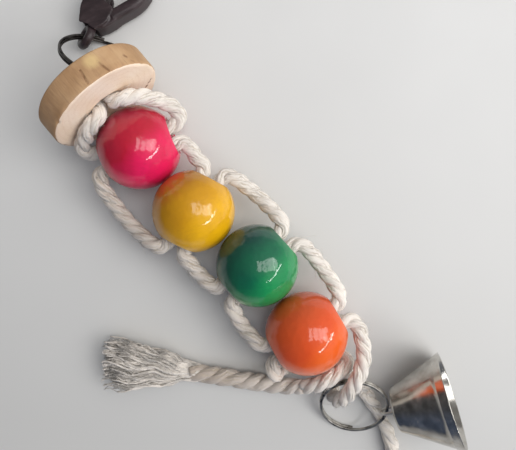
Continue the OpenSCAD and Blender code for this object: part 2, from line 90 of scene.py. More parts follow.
LONG_ROUTE = (
    (62.78, -27.7, 9), (59.78, -32.7, 5.6), (55.08, -37.6, 4), (49.08, -42.6, 3.7), (44.48, -46.3, 3.7),
    (39.88, -50, 3.7), (35.48, -53.7, 3.7), (30.68, -57.3, 3.7),
)
SECOND_ROUTE = (
    (81.68, -12.5, 3.2), (86.88, -13.1, 2.9), (93.28, -14.3, 2.3), (99.58, -16.2, 3), (105.88, -19.4, 3.3),
    (116.48, -24.95, 3.3),
)
# Middle lines of the two brushed-out ends
LONG_END = (
    (34.6, -54.4, 3.7), (30.68, -57.3, 3.7), (23.18, -63.4, 4.6), (16.28, -70, 5.4), (9.78, -75.5, 5.6),
    (6.38, -78.9, 5.4),
)
SECOND_END = (
    (112.9, -23.1, 3.3), (116.48, -24.95, 3.3), (122.38, -28, 4.3), (128.88, -30.9, 5), (135.38, -32.9, 5),
)
# Where the cord is pressed thinner, between the disc and the first bead
NIP = (-56.4, -11.28, 25.5)
# Where the second tail is flattened, under the lower ring
UNDER_RING = (93.28, -14.3, 2.3)

# Middle of each bead, and the turn of its hole about Z in degrees
BEAD_PLACES = ((-42.9, -13.3, 14.9), (-12.81, -13.9, 14.9), (17.04, -10.0, 14.9), (46.98, -13.1, 14.9))
BEAD_TURNS = (-22, 21, 0, -12)
# Middle of the disc's front face, and its turn about Z in degrees
DISC_FACE = (-58.8, -11.2, 21)
DISC_TURN = -2

# Middle, tilt, direction of the tilt, and the angles between which the two turns lie apart
UPPER_RING = ((-80.6, -2.55, 10.7), 48.4, 108.8, 20, 350)
LOWER_RING = ((81.59, -18.77, 7), 27.5, -58.9, 135, 378)

# The hook's own frame: middle of the swivel eye, across the hook and along it
HOOK_MIDDLE = np.array([-0.0913, -0.0006, 0.00474])
HOOK_ACROSS = np.array([0.9205, 0.3907, 0.0])
HOOK_AHEAD = np.array([-0.3907, 0.9205, 0.0])

# Middle of the bell's crown, direction and rise of its axis, lean of the clapper from it, and how far
# the staple's bows reach out of the bell and into it
BELL_CROWN = (92.33, -7.55, 9.3)
BELL_AZIMUTH = 66.8
BELL_RISE = 20.2
CLAPPER_LEAN = 47
BOW_OUT = -3.54
BOW_IN = 2.6

# How far a strand's middle stands off the cord's, and half its thickness, as shares of the cord's radius
STRAND_OFF = 0.44
STRAND_SIZE = 0.56

# Points round a strand, a yarn and a fibre, and round each turned shape
STRAND_SIDES, YARN_SIDES, FIBRE_SIDES = 16, 6, 3
BEAD_SEGMENTS, DISC_SEGMENTS, BELL_SEGMENTS, BALL_SEGMENTS = 128, 192, 160, 48
# Steps between two points of a route, and the length of a step along a strand and along a loose yarn
CURVE_STEPS = 8
CORD_STEP = 0.8
YARN_STEP = 1.3

# The photo's camera: sensor in millimetres, focal length and picture in pixels, place and turn about Z
SENSOR = 36
FOCAL_PIXELS = 450
PICTURE_PIXELS = 516
CAMERA_PLACE = (0.0064, 0, 0.1775)
CAMERA_TURN = 48
BACKDROP = "#d6d4cf"


def length_setting(label, description, size):
    """A setting for a length, its default given in millimetres."""
    return FloatProperty(name=label, description=description, default=size * MM, unit="LENGTH")


def colour_setting(label, description, default):
    """A setting for a colour in sRGB."""
    return FloatVectorProperty(name=label, description=description, size=3, subtype="COLOR_GAMMA",
                               default=default)


class CordSettings(bpy.types.PropertyGroup):
    radius: length_setting("Cord radius", "Half the thickness of the laid cord", 2.9)
    lay: length_setting("Lay", "Length in which a strand goes once round the cord", 15.5)
    tail_radius: length_setting("Tail radius", "Half the thickness of the loosened long tail", 3.5)
    yarns: IntProperty(name="Yarns", description="Number of loose yarns in the long brushed-out end",
                       default=220)
    colour: colour_setting("Cotton colour", "Colour of the undyed cotton", (0.93, 0.90, 0.865))


class BeadSettings(bpy.types.PropertyGroup):
    radius: length_setting("Bead radius", "Half the diameter of a bead", 14.9)
    bore: length_setting("Bore radius", "Radius of the hole through a bead", 6.35)
    pink: colour_setting("Pink lacquer", "Colour of the first bead", (0.73, 0.075, 0.19))
    yellow: colour_setting("Yellow lacquer", "Colour of the second bead", (0.80, 0.57, 0.03))
    green: colour_setting("Green lacquer", "Colour of the third bead", (0.04, 0.40, 0.27))
    orange: colour_setting("Orange lacquer", "Colour of the fourth bead", (0.86, 0.31, 0.11))


class DiscSettings(bpy.types.PropertyGroup):
    radius: length_setting("Disc radius", "Radius of the wooden disc", 21)
    thickness: length_setting("Disc thickness", "Thickness of the wooden disc", 9)
    hole: length_setting("Hole radius", "Radius of the hole through the disc", 6.85)


class MetalSettings(bpy.types.PropertyGroup):
    ring_radius: length_setting("Ring radius", "Radius of a split ring, to the middle of its wire", 12.4)
    wire_width: length_setting("Wire width", "Width of the ring wire", 1.1)
    wire_height: length_setting("Wire height", "Height of one turn of the ring wire", 0.95)
    mouth_radius: length_setting("Mouth radius", "Radius of the bell's mouth", 17)
    crown_radius: length_setting("Crown radius", "Radius of the bell's crown", 8.2)
    bell_length: length_setting("Bell length", "Length of the bell from its crown to its mouth", 20)
    wall: length_setting("Bell wall", "Thickness of the bell's sheet", 0.8)


SETTINGS = {"bird_cord": CordSettings, "bird_beads": BeadSettings, "bird_disc": DiscSettings,
            "bird_metal": MetalSettings}


def mm(points):
    """Turns millimetres into metres."""
    return np.asarray(points, float) * MM


def unit(vectors):
    """Vectors of length one."""
    vectors = np.asarray(vectors, float)
    return vectors / np.linalg.norm(vectors, axis=-1, keepdims=True)


def linear(colour):
    """An sRGB colour, as a hex value or as three numbers, in the linear values that a shader takes."""
    if isinstance(colour, str):
        colour = [int(colour[i:i + 2], 16) / 255 for i in (1, 3, 5)]
    colour = np.asarray(colour[:3], float)
    return (*np.where(colour <= 0.04045, colour / 12.92, ((colour + 0.055) / 1.055) ** 2.4), 1.0)


def curve_through(points, steps):
    """A Catmull-Rom curve: between two points it is the cubic through both whose slope at each one is half
    the step from the point before it to the point after it."""
    p = np.asarray(points, float)
    before = np.concatenate([p[:1], p[:-2]])
    after = np.concatenate([p[2:], p[-1:]])
    a, b, c, d = (q[:, None, :] for q in (before, p[:-1], p[1:], after))
    t = (np.arange(steps) / steps)[None, :, None]
    curve = 0.5 * (2 * b + (c - a) * t + (2 * a - 5 * b + 4 * c - d) * t ** 2
                   + (3 * b - a - 3 * c + d) * t ** 3)
    return np.concatenate([curve.reshape(-1, 3), p[-1:]])


def even_steps(points, spacing):
    """The same line with its points a fixed distance apart, and how far along it each of them lies."""
    along = np.concatenate([[0], np.cumsum(np.linalg.norm(np.diff(points, axis=0), axis=1))])
    marks = np.linspace(0, along[-1], max(2, int(round(along[-1] / spacing)) + 1))
    return np.stack([np.interp(marks, along, points[:, k]) for k in range(3)], axis=-1), marks


def carried_frames(path):
    """Direction, side and up at each point of a path. The side is carried on from the point before, less
    its part along the new direction, so that it never turns about the path."""
    ahead = unit(np.gradient(path, axis=0))
    start = np.cross(ahead[0], (0, 0, 1) if abs(ahead[0, 2]) < 0.9 else (1, 0, 0))
    side = [start / np.linalg.norm(start)]
    for direction in ahead[1:]:
        carried = side[-1] - side[-1] @ direction * direction
        side.append(carried / np.linalg.norm(carried))
    side = np.array(side)
    return ahead, side, np.cross(ahead, side)


def beside(*values):
    """Values side by side along a last axis. A single number is used all the way down."""
    return np.stack(np.broadcast_arrays(*values), axis=-1)


def turn_angles(count):
    """Angles that share a full turn evenly."""
    return np.arange(count) / count * 2 * np.pi


def ripple(angles, seed, waves, lowest=1):
    """Smooth unevenness round a circle, between about -1 and 1: a sum of sines whose strength falls with
    their number of waves."""
    rng = np.random.default_rng(seed)
    counts = np.arange(lowest, lowest + waves)
    strength = rng.normal(size=waves) / counts ** 0.7
    phase = rng.uniform(0, 2 * np.pi, waves)
    total = (strength * np.sin(np.asarray(angles)[..., None] * counts + phase)).sum(-1)
    return total / max(1e-9, np.abs(strength).sum()) * 1.8


def tube_points(paths, radii, sides, ahead=None, side=None, up=None, squarish=1.0):
    """Points of closed tubes along paths: each ring is its path's point plus the radius times the cosine of
    the angle along the side and its sine along up. The rings at both ends shrink to a point."""
    if ahead is None:
        ahead = unit(np.gradient(paths, axis=-2))
        side = unit(np.cross(ahead, (0.0, 0.0, 1.0)) + 1e-9)
        up = np.cross(ahead, side)
    angle = turn_angles(sides)
    c = np.sign(np.cos(angle)) * np.abs(np.cos(angle)) ** squarish
    s = np.sign(np.sin(angle)) * np.abs(np.sin(angle)) ** squarish
    radii = np.asarray(radii, float)
    wide, high = (radii, radii) if radii.ndim == paths.ndim - 1 else (radii[..., 0], radii[..., 1])
    rings = (paths[..., None, :] + (wide[..., None] * c)[..., None] * side[..., None, :]
             + (high[..., None] * s)[..., None] * up[..., None, :])
    first = np.repeat(paths[..., :1, None, :], sides, axis=-2)
    last = np.repeat(paths[..., -1:, None, :], sides, axis=-2)
    return np.concatenate([first, rings, last], axis=-3)


def grid_faces(shape, closed_rows=False, closed_columns=True):
    """Quads between the neighbouring points of one or more grids, and the row and column of each corner."""
    count, rows, columns = shape
    r = np.arange(rows if closed_rows else rows - 1)
    c = np.arange(columns if closed_columns else columns - 1)
    r, c = (q.ravel()[:, None] for q in np.meshgrid(r, c, indexing="ij"))
    corner_row = r + np.array([0, 0, 1, 1])
    corner_column = c + np.array([0, 1, 1, 0])
    one = corner_row % rows * columns + corner_column % columns
    quads = (one[None] + (np.arange(count) * rows * columns)[:, None, None]).reshape(-1, 4)
    return quads, np.tile(corner_row, (count, 1)), np.tile(corner_column, (count, 1))


def revolve(profile, middle, axis, across, segments, unevenness=None):
    """Points of a turned shape: each profile point (radius, place along the axis) goes round the axis.
    unevenness, a row for each segment, is added to the radius."""
    profile = np.asarray(profile, float)
    axis, across = unit(axis), unit(across)
    upright = np.cross(axis, across)
    angle = turn_angles(segments)
    radius = np.repeat(profile[None, :, 0], segments, axis=0)
    if unevenness is not None:
        radius = radius + unevenness
    outward = np.cos(angle)[:, None] * across + np.sin(angle)[:, None] * upright
    return (np.asarray(middle, float) + radius[..., None] * outward[:, None, :]
            + profile[None, :, 1, None] * axis)


def put_object(name, data):
    """A new object at the origin, in the scene."""
    made = bpy.data.objects.new(name, data)
    bpy.context.scene.collection.objects.link(made)
    return made


def put_mesh(name, parts, body, materials, replaced=(), uv=None, material_of=None):
    """Makes one piece of point grids. parts lists (points, closed rows, closed columns), points being
    count x rows x columns x 3. Doubles are merged and the faces turned outwards."""
    points, faces, rows, columns, first = [], [], [], [], 0
    for grid, closed_rows, closed_columns in parts:
        grid = grid if grid.ndim == 4 else grid[None]
        quads, row, column = grid_faces(grid.shape[:3], closed_rows, closed_columns)
        points.append(grid.reshape(-1, 3))
        faces.append(quads + first)
        rows.append(row)
        columns.append(column)
        first += points[-1].shape[0]
    points, faces = np.concatenate(points), np.concatenate(faces)
    mesh = bpy.data.meshes.new(name)
    mesh.vertices.add(len(points))
    mesh.vertices.foreach_set("co", points.ravel())
    mesh.loops.add(faces.size)
    mesh.loops.foreach_set("vertex_index", faces.ravel())
    mesh.polygons.add(len(faces))
    mesh.polygons.foreach_set("loop_start", np.arange(len(faces)) * 4)
    if uv is not None:
        layer = mesh.uv_layers.new(name="along")
        places = uv(np.concatenate(rows), np.concatenate(columns))
        layer.data.foreach_set("uv", places.reshape(-1, 2).ravel().astype(np.float32))
    if material_of is not None:
        kinds = material_of(np.concatenate(rows), np.concatenate(columns))
        mesh.polygons.foreach_set("material_index", kinds)
    mesh.update(calc_edges=True)
    for material in materials:
        mesh.materials.append(material)
    return finish_piece(name, mesh, body, replaced)


def finish_piece(name, mesh, body, replaced=()):
    """Merges doubles, turns the faces outwards, smooths them, ties the piece to its body and hides the CAD
    parts it replaces.
    """
    work = bmesh.new()
    work.from_mesh(mesh)
    bmesh.ops.remove_doubles(work, verts=work.verts, dist=1e-7)
    bmesh.ops.dissolve_degenerate(work, edges=work.edges, dist=1e-8)
    bmesh.ops.recalc_face_normals(work, faces=work.faces)
    for face in work.faces:
        face.smooth = True
    work.to_mesh(mesh)
    work.free()
    piece = put_object(name, mesh)
    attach(piece, body)
    if replaced:
        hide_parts(*replaced)
    return piece


def fill(node, settings):
    """Sets a node's own values, whose names start with a dot, and its sockets. A socket takes a constant,
    or another node's output, which is linked to it."""
    for name, value in settings.items():
        if isinstance(name, str) and name.startswith("."):
            setattr(node, name[1:], value)
        elif isinstance(value, bpy.types.NodeSocket):
            node.id_data.links.new(value, node.inputs[name])
        else:
            node.inputs[name].default_value = value
    return node


def add_node(kind, settings, tree=None):
    """Adds a node with its settings, to the tree of the outputs that they link or to the one given."""
    if tree is None:
        tree = next(value.id_data for value in settings.values() if isinstance(value, bpy.types.NodeSocket))
    return fill(tree.nodes.new(kind), settings)


def number(operation, *values):
    """Result of a math node."""
    return add_node("ShaderNodeMath", {".operation": operation, **dict(enumerate(values))}).outputs[0]


def vector(operation, *values):
    """Result of a vector math node: a number for a dot product, a distance or a length, else a vector."""
    node = add_node("ShaderNodeVectorMath", {".operation": operation, **dict(enumerate(values))})
    return node.outputs["Value" if operation in ("DOT_PRODUCT", "DISTANCE", "LENGTH") else "Vector"]


def times(first, second):
    """Product of two factors."""
    return number("MULTIPLY", first, second)


def ramp(factor, stops):
    """Colour from a factor: stops are (place, colour)."""
    node = add_node("ShaderNodeValToRGB", {"Fac": factor})
    elements = node.color_ramp.elements
    while len(elements) < len(stops):
        elements.new(0.5)
    for element, (place, colour) in zip(elements, stops):
        element.position = place
        element.color = linear(colour)
    return node.outputs["Color"]


def grey_ramp(factor, low, high, at_low=0.0, at_high=1.0):
    """A factor stretched so that low gives at_low and high gives at_high."""
    return add_node("ShaderNodeMapRange",
                    {0: factor, 1: low, 2: high, 3: at_low, 4: at_high}).outputs[0]


def mix(factor, first, second):
    """One colour laid over another. Each is a hex value or an output."""
    first, second = (linear(colour) if isinstance(colour, str) else colour for colour in (first, second))
    return add_node("ShaderNodeMix",
                    {".data_type": "RGBA", 0: factor, 6: first, 7: second}).outputs[2]


def new_material(name, constants):
    """A material with its shader's own values set, and the point on the piece in the shared frame."""
    material = bpy.data.materials.new(name)
    material.use_nodes = True
    tree = material.node_tree
    shader = fill(tree.nodes["Principled BSDF"], constants)
    return material, shader, add_node("ShaderNodeTexCoord", {}, tree).outputs["Object"]


def noise(where, size_mm, detail=3.0, roughness=0.5, stretch=(1, 1, 1), turn=(0, 0, 0),
          centre=(0, 0, 0)):
    """Noise whose grains are about size_mm across, stretched along the piece's own axes."""
    place = vector("SUBTRACT", where, centre)
    turned = add_node("ShaderNodeMapping", {"Rotation": turn, "Vector": place}).outputs["Vector"]
    # 1000 / size_mm is the number of grains in a metre
    sized = vector("MULTIPLY", turned, [1000 / size_mm / s for s in stretch])
    return add_node("ShaderNodeTexNoise", {
        "Scale": 1.0, "Detail": detail, "Roughness": roughness, "Vector": sized}).outputs["Fac"]


def add_bump(shader, height, depth_mm, sockets=("Normal",)):
    """Bump of a real depth."""
    node = add_node("ShaderNodeBump", {"Strength": 1.0, "Distance": depth_mm * MM, "Height": height})
    fill(shader, dict.fromkeys(sockets, node.outputs["Normal"]))


def spot(where, centre, radius):
    """1 at a centre, falling to 0 at a radius, both in millimetres."""
    far = vector("DISTANCE", where, mm(centre))
    return grey_ramp(far, radius * MM, radius * MM * 0.35)


def scratch(where, start, end, width):
    """1 along a straight mark from start to end, falling to 0 at its width: the distance from a point to
    the segment, found from how far along the segment the point lies, kept between 0 and 1."""
    start, end = mm(start), mm(end)
    step = end - start
    offset = vector("SUBTRACT", where, start)
    share = grey_ramp(vector("DOT_PRODUCT", offset, step / (step @ step)), 0.0, 1.0)
    reached = add_node("ShaderNodeVectorMath", {".operation": "SCALE", 0: step, "Scale": share})
    far = vector("DISTANCE", offset, reached.outputs[0])
    return grey_ramp(far, width * MM, width * MM * 0.3)


def scored(where, body, marks, ragged, strength, tint):
    """Lays straight dark marks over a colour. Gives the colour, and the greatest mark as their depth."""
    depth = None
    for start, end, width in marks:
        mark = times(scratch(where, start, end, width), ragged)
        body = mix(times(mark, strength), body, tint)
        depth = mark if depth is None else number("MAXIMUM", depth, mark)
    return body, depth


def undyed_cotton(name, colour, slant, painted_shade_share, groove_shade_and_fibre_marks):
    """Undyed cotton, spun into yarns and laid: a dull warm off-white whose yarns run at a slant over each
    strand, with painted shade in the grooves between them, painted shade greying it towards -Y, and fine
    fuzz that catches light at the edges."""
    material, shader, where = new_material(name, {
        "Roughness": 0.9, "Sheen Weight": 0.35, "Sheen Roughness": 0.6, "Specular IOR Level": 0.2})
    uv = add_node("ShaderNodeUVMap", {".uv_map": "along"}, where.id_data).outputs["UV"]
    # u counts turns round the strand, v its length in centimetres; seven yarns of about 1.3 mm show
    yarn_place = add_node("ShaderNodeMapping", {"Scale": (7.0, -slant, 1.0), "Vector": uv})
    split = add_node("ShaderNodeSeparateXYZ", {"Vector": yarn_place.outputs["Vector"]}).outputs
    drift = times(noise(where, 4.0, 2.0), 2.2)
    wavy = number("ADD", number("ADD", split["X"], split["Y"]), drift)
    round_yarn = grey_ramp(number("SINE", times(wavy, FULL_TURN)), -1.0, 1.0)
    # fine fibres, drawn out along the strand
    fibre_place = add_node("ShaderNodeMapping", {"Scale": (26.0, 5.0, 1.0), "Vector": uv})
    fibres = add_node("ShaderNodeTexNoise", {"Scale": 1.0, "Detail": 3.0, "Distortion": 0.6,
                                             "Vector": fibre_place.outputs["Vector"]}).outputs["Fac"]
    clean = ramp(noise(where, 9.0, 2.0), [(0.35, [c * 0.95 for c in colour]), (0.65, colour)])
    # yarns show here and there only, as in washed cotton, and there the grooves between them get painted
    # shade
    showing = grey_ramp(noise(where, 5.0, 2.0), 0.38, 0.62)
    painted_groove_shade = times(times(grey_ramp(round_yarn, 0.35, 0.0), showing), 0.75 * groove_shade_and_fibre_marks)
    # painted shade: greyer towards -Y, the side away from the lamps
    place = add_node("ShaderNodeSeparateXYZ", {"Vector": where}).outputs
    painted_side_shade = grey_ramp(place["Y"], -10 * MM, -55 * MM)
    clean = mix(times(painted_side_shade, painted_shade_share), clean, "#ad9f93")
    # lays the painted shade of the grooves over the cotton
    groove_shaded = mix(painted_groove_shade, clean, "#b3a591")
    shown = mix(times(grey_ramp(fibres, 0.42, 0.30), 0.35 * groove_shade_and_fibre_marks), groove_shaded, "#b5a893")
    # a dark red fleck of lint among the fibres above the cord
    shown = mix(spot(where, (-4.1, 4.7, 17.2), 1.5), shown, "#7a1f22")
    fill(shader, {"Base Color": shown})
    add_bump(shader, number("ADD", times(round_yarn, showing), times(fibres, 0.6)),
             0.22)
    return material


def lacquered_wood(name, colour, deep_dye_and_shade, bright, centre, turn, stain=None):
    """Beech beads dyed and dipped in clear gloss lacquer: darker towards -X, where the dye lies thicker and
    painted shade falls, and brighter towards +X with painted light over the dye's own shift of hue, the
    grain just showing, under a wet gloss broken by small waves in the coat."""
    material, shader, where = new_material(name, {
        "Roughness": 0.42, "Coat Weight": 1.0, "Coat Roughness": 0.08, "Coat IOR": 1.55,
        "Specular IOR Level": 0.12})
    centre = mm(centre)
    # fibres of 0.8 mm, drawn out twelve times along the grain
    grain = noise(where, 0.8, 3.0, 0.6, (1.2, 12.0, 1.2), (0.15, 0.2, 0.6 - turn), centre)
    cloud = noise(where, 13.0, 2.0, centre=centre)
    # across the bead along X, from -1 to 1 radius, moved about by the cloud; the ramp below paints shade
    # towards -X and light towards +X over the dye's own shift of tone
    side = vector("DOT_PRODUCT", vector("SUBTRACT", where, centre), (1 / (15 * MM), 0, 0))
    level = number("ADD", side, times(cloud, 1.6))
    body = ramp(grey_ramp(level, -0.2, 1.8), [(0.08, deep_dye_and_shade), (0.5, colour), (0.85, bright)])
    shown = mix(times(grey_ramp(grain, 0.5, 0.34), 0.16), body, deep_dye_and_shade)
    if stain:
        tint, place, reach = stain
        edge = grey_ramp(noise(where, 3.5), 0.30, 0.62)
        shown = mix(times(times(spot(where, place, reach), edge), 0.9), shown, tint)
    fill(shader, {"Base Color": shown})
    # waves of about 2.6 mm and dimples of 0.9 mm left in the lacquer as it dried
    waves = noise(where, 2.6, 1.0, 0.4, (1, 1, 2.6), (0.5, 0.35, turn), centre)
    relief = number("ADD", waves, times(noise(where, 0.9, 1.0), 0.16))
    add_bump(shader, relief, 0.16, ("Normal", "Coat Normal"))
    return material


def turned_wood_side(name):
    """The round side of a slice of softwood: dull tan-brown, browner to one side, with two dark nicks
    across it, a few small marks and a paler spot."""
    material, shader, where = new_material(name, {"Roughness": 0.66, "Specular IOR Level": 0.3})
    grain = noise(where, 1.1, 4.0, 0.65, (5, 1, 1))
    body = ramp(noise(where, 10.0), [(0.3, "#a9845f"), (0.5, "#bb9670"), (0.7, "#c9a781")])
    place = add_node("ShaderNodeSeparateXYZ", {"Vector": where}).outputs
    browner = grey_ramp(place["Y"], -8 * MM, -34 * MM)
    body = mix(times(browner, 0.4), body, "#a3744a")
    fibred = mix(times(grey_ramp(grain, 0.5, 0.32), 0.35), body, "#99745a")
    pale = spot(where, (-64.5, -4.4, 40.9), 3.2)
    shown = mix(times(pale, 0.6), fibred, "#e0c48c")
    ragged = grey_ramp(noise(where, 1.6), 0.24, 0.55)
    marks = (
        ((-63.4, -3.2, 40.2), (-59.2, -2.2, 40.1), 0.6), ((-64.2, -8.7, 41.9), (-59.6, -9.6, 41.9), 0.55),
        ((-61.9, 4.6, 34.9), (-61.5, 4.7, 34.7), 0.8), ((-59.5, 5.3, 34.0), (-59.2, 5.6, 33.7), 0.7),
        ((-66.0, 8.9, 15.0), (-61.8, 8.7, 14.0), 0.6), ((-64.0, -31.0, 27.0), (-62.5, -31.2, 26.0), 0.8),
        ((-65.5, -14.0, 0.4), (-60.5, -13.0, 0.3), 0.6),
    )
    shown, depth = scored(where, shown, marks, ragged, 0.75, "#7d583c")
    fill(shader, {"Base Color": shown})
    add_bump(shader, number("SUBTRACT", grain, depth), 0.2)
    return material


def sawn_wood_face(name):
    """The sawn end of a slice of softwood: pale cream-pink with hardly any year rings, a fine sawn grain
    and a few dark cracks near the hole and the rim."""
    material, shader, where = new_material(name, {"Roughness": 0.8, "Specular IOR Level": 0.25})
    # year rings 2.2 mm apart round a pith a little off the middle
    centred = vector("SUBTRACT", where, mm((-58.8, -8.5, 25)))
    far = vector("LENGTH", vector("MULTIPLY", centred, (0, 1, 1)))
    wander = times(noise(where, 7.0, 2.0), 3.4 * MM)
    turns = times(number("ADD", far, wander), FULL_TURN / (2.2 * MM))
    rings = grey_ramp(number("SINE", turns), 0.2, 1.0)
    pores = noise(where, 0.6, 4.0, 0.7)
    body = ramp(noise(where, 12.0, 2.0), [(0.35, "#f4dac0"), (0.65, "#fce9d6")])
    ringed = mix(times(rings, 0.10), body, "#d3ae86")
    pored = mix(times(grey_ramp(pores, 0.48, 0.3), 0.22), ringed, "#c9a382")
    # the saw's edge, a little burnt and dirty at the rim
    edge = grey_ramp(far, 17 * MM, 24 * MM)
    shown = mix(times(edge, 0.25), pored, "#c8a27c")
    ragged = grey_ramp(noise(where, 1.0, 2.0), 0.36, 0.5)
    cracks = (
        ((-58.5, -2.0, 19.6), (-58.3, 2.2, 12.9), 0.7), ((-58.3, 3.3, 13.5), (-58.2, 6.5, 16.1), 0.7),
        ((-59.2, -21.4, 24.0), (-59.0, -17.5, 27.0), 0.6), ((-67.9, -2.0, 27.0), (-67.8, 4.0, 31.0), 0.7),
    )
    shown, depth = scored(where, shown, cracks, ragged, 0.85, "#7a5236")
    fill(shader, {"Base Color": shown})
    add_bump(shader, number("SUBTRACT", pores, depth), 0.15)
    return material


def moulded_nylon(name):
    """Injection-moulded nylon in a dark brown-black: a satin skin with a fine pebble, paler where handling
    has scuffed it."""
    material, shader, where = new_material(name, {
        "Roughness": 0.36, "Specular IOR Level": 0.5, "IOR": 1.53})
    scuffs = noise(where, 2.6, 4.0, 0.65, (1, 3, 1), (0, 0, 0.4))
    fill(shader, {
        "Base Color": ramp(scuffs, [(0.35, "#2a2023"), (0.55, "#35282b"), (0.78, "#483a3d")]),
        "Roughness": grey_ramp(scuffs, 0.3, 0.7, 0.28, 0.5)})
    add_bump(shader, noise(where, 0.6, 2.0), 0.03)
    return material


def drawn_steel(name, light, dark, roughness):
    """Hard-drawn spring steel wire: grey metal with a fine grain from the die and duller, browner
    patches."""
    material, shader, where = new_material(name, {"Metallic": 1.0, "Roughness": roughness})
    patches = noise(where, 3.2)
    fill(shader, {
        "Base Color": ramp(patches, [(0.35, dark), (0.62, light)]),
        "Roughness": grey_ramp(patches, 0.3, 0.7, roughness * 0.8, roughness * 1.5)})
    add_bump(shader, noise(where, 0.35, 2.0), 0.02)
    return material


def nickel_plate(name):
    """Bright nickel plate on pressed steel sheet: mirror-like with a warm cast, slow waves from pressing
    and small dull specks."""
    material, shader, where = new_material(name, {"Metallic": 1.0, "Roughness": 0.14})
    haze = noise(where, 5.0)
    fill(shader, {
        "Base Color": ramp(haze, [(0.35, "#aaa69f"), (0.6, "#cfccc6")]),
        "Roughness": grey_ramp(haze, 0.3, 0.7, 0.13, 0.28)})
    specks = grey_ramp(noise(where, 0.7, 1.0), 0.68, 0.78)
    add_bump(shader, number("SUBTRACT", noise(where, 4.5, 1.0), times(specks, 0.2)),
             0.10)
    return material


def bead_axis(index):
    """Direction of a bead's hole, and the direction across it."""
    angle = np.radians(90 + BEAD_TURNS[index])
    return np.array([np.cos(angle), np.sin(angle), 0]), np.array([np.sin(angle), -np.cos(angle), 0])


def ring_axes(tilt, azimuth):
    """The three axes of a ring's own frame: tilted about Y, then turned about Z."""
    t, d = np.radians([tilt, azimuth])
    first = np.array([np.cos(t) * np.cos(d), np.cos(t) * np.sin(d), -np.sin(t)])
    second = np.array([-np.sin(d), np.cos(d), 0])
    return first, second, np.cross(first, second)


def bell_axes():
    """The bell's axis towards its mouth, its downward side, and the direction across both."""
    a, u = np.radians([BELL_AZIMUTH, BELL_RISE])
    axis = np.array([np.cos(u) * np.cos(a), np.cos(u) * np.sin(a), np.sin(u)])
    down = np.array([np.sin(u) * np.cos(a), np.sin(u) * np.sin(a), -np.cos(u)])
    return axis, down, np.cross(axis, down)


def strands(path, radius, lay, looseness=0.0, seed=0):
    """Three strands laid round a path: strand k's middle stands off the path by just under half the
    radius, at an angle that falls by a full turn in one lay, a third of a turn from its neighbours. Its
    own section is round, a little over half the radius. radius gives the cord's radius at each point of a
    line. looseness lets the strands drift outwards and apart by that share of it. Gives points of
    strand x length x round, and how far along the path each step lies."""
    line, marks = even_steps(path, CORD_STEP * MM)
    _, side, up = carried_frames(line)
    radius = radius(line)
    turn = 2 * np.pi * (np.arange(3)[:, None] / 3 - marks[None] / lay)
    drift = np.stack([ripple(marks / marks[-1] * 2 * np.pi, seed + k, 9, 2) for k in range(3)])
    turn = turn + looseness * drift * 1.4
    off = (STRAND_OFF + looseness * 0.10 * drift) * radius[None]
    outward = np.cos(turn)[..., None] * side[None] + np.sin(turn)[..., None] * up[None]
    middles = line[None] + off[..., None] * outward
    along = unit(np.gradient(middles, axis=1))
    across = np.cross(along, outward)
    size = (STRAND_SIZE - looseness * 0.05 + looseness * 0.05 * drift[::-1]) * radius[None]
    return tube_points(middles, size, STRAND_SIDES, along, outward, across), marks


def strand_uv(step_mm, sides):
    """Places on a strand: turns round it, and centimetres along it."""
    return lambda row, column: beside(column / sides, row * step_mm / 10)


def pinched(radius, place, depth_mm, reach_mm):
    """The cord's radius along a line, less where it is pressed thinner: by depth_mm at a place, and by less
    the farther from it, up to reach_mm."""
    def along(line):
        near = np.linalg.norm(line - mm(place), axis=1)
        return radius - depth_mm * MM * np.maximum(0, 1 - near / (reach_mm * MM))
    return along


def loose_fibres(path, radius, count, length, seed, thickness, lowest=0.25 * MM):
    """Stray fibres standing off a cord: each one leaves the surface along the path, bends outwards by a
    random quadratic curve and sinks a little under its own weight."""
    rng = np.random.default_rng(seed)
    line, _ = even_steps(path, 1 * MM)
    ahead, side, up = carried_frames(line)
    pick = rng.integers(4, len(line) - 4, count)
    angle = rng.uniform(0, 2 * np.pi, count)
    outward = np.cos(angle)[:, None] * side[pick] + np.sin(angle)[:, None] * up[pick]
    t = np.linspace(0, 1, 5)[None, :, None]
    reach = (length * rng.uniform(0.35, 1.0, count))[:, None, None]
    lean = rng.normal(0, 0.8, (count, 1, 1)) * ahead[pick][:, None]
    curl = rng.normal(0, 0.45, (count, 1, 1)) * np.cross(ahead[pick], outward)[:, None]
    start = line[pick] + outward * radius * 0.86
    curve = start[:, None] + reach * (t * (outward[:, None] * 0.55 + lean) + t ** 2 * curl
                                      - t ** 2 * np.array([0, 0, 0.18]))
    curve[..., 2] = np.maximum(curve[..., 2], lowest)
    return tube_points(curve, np.full(curve.shape[:2], thickness), FIBRE_SIDES)


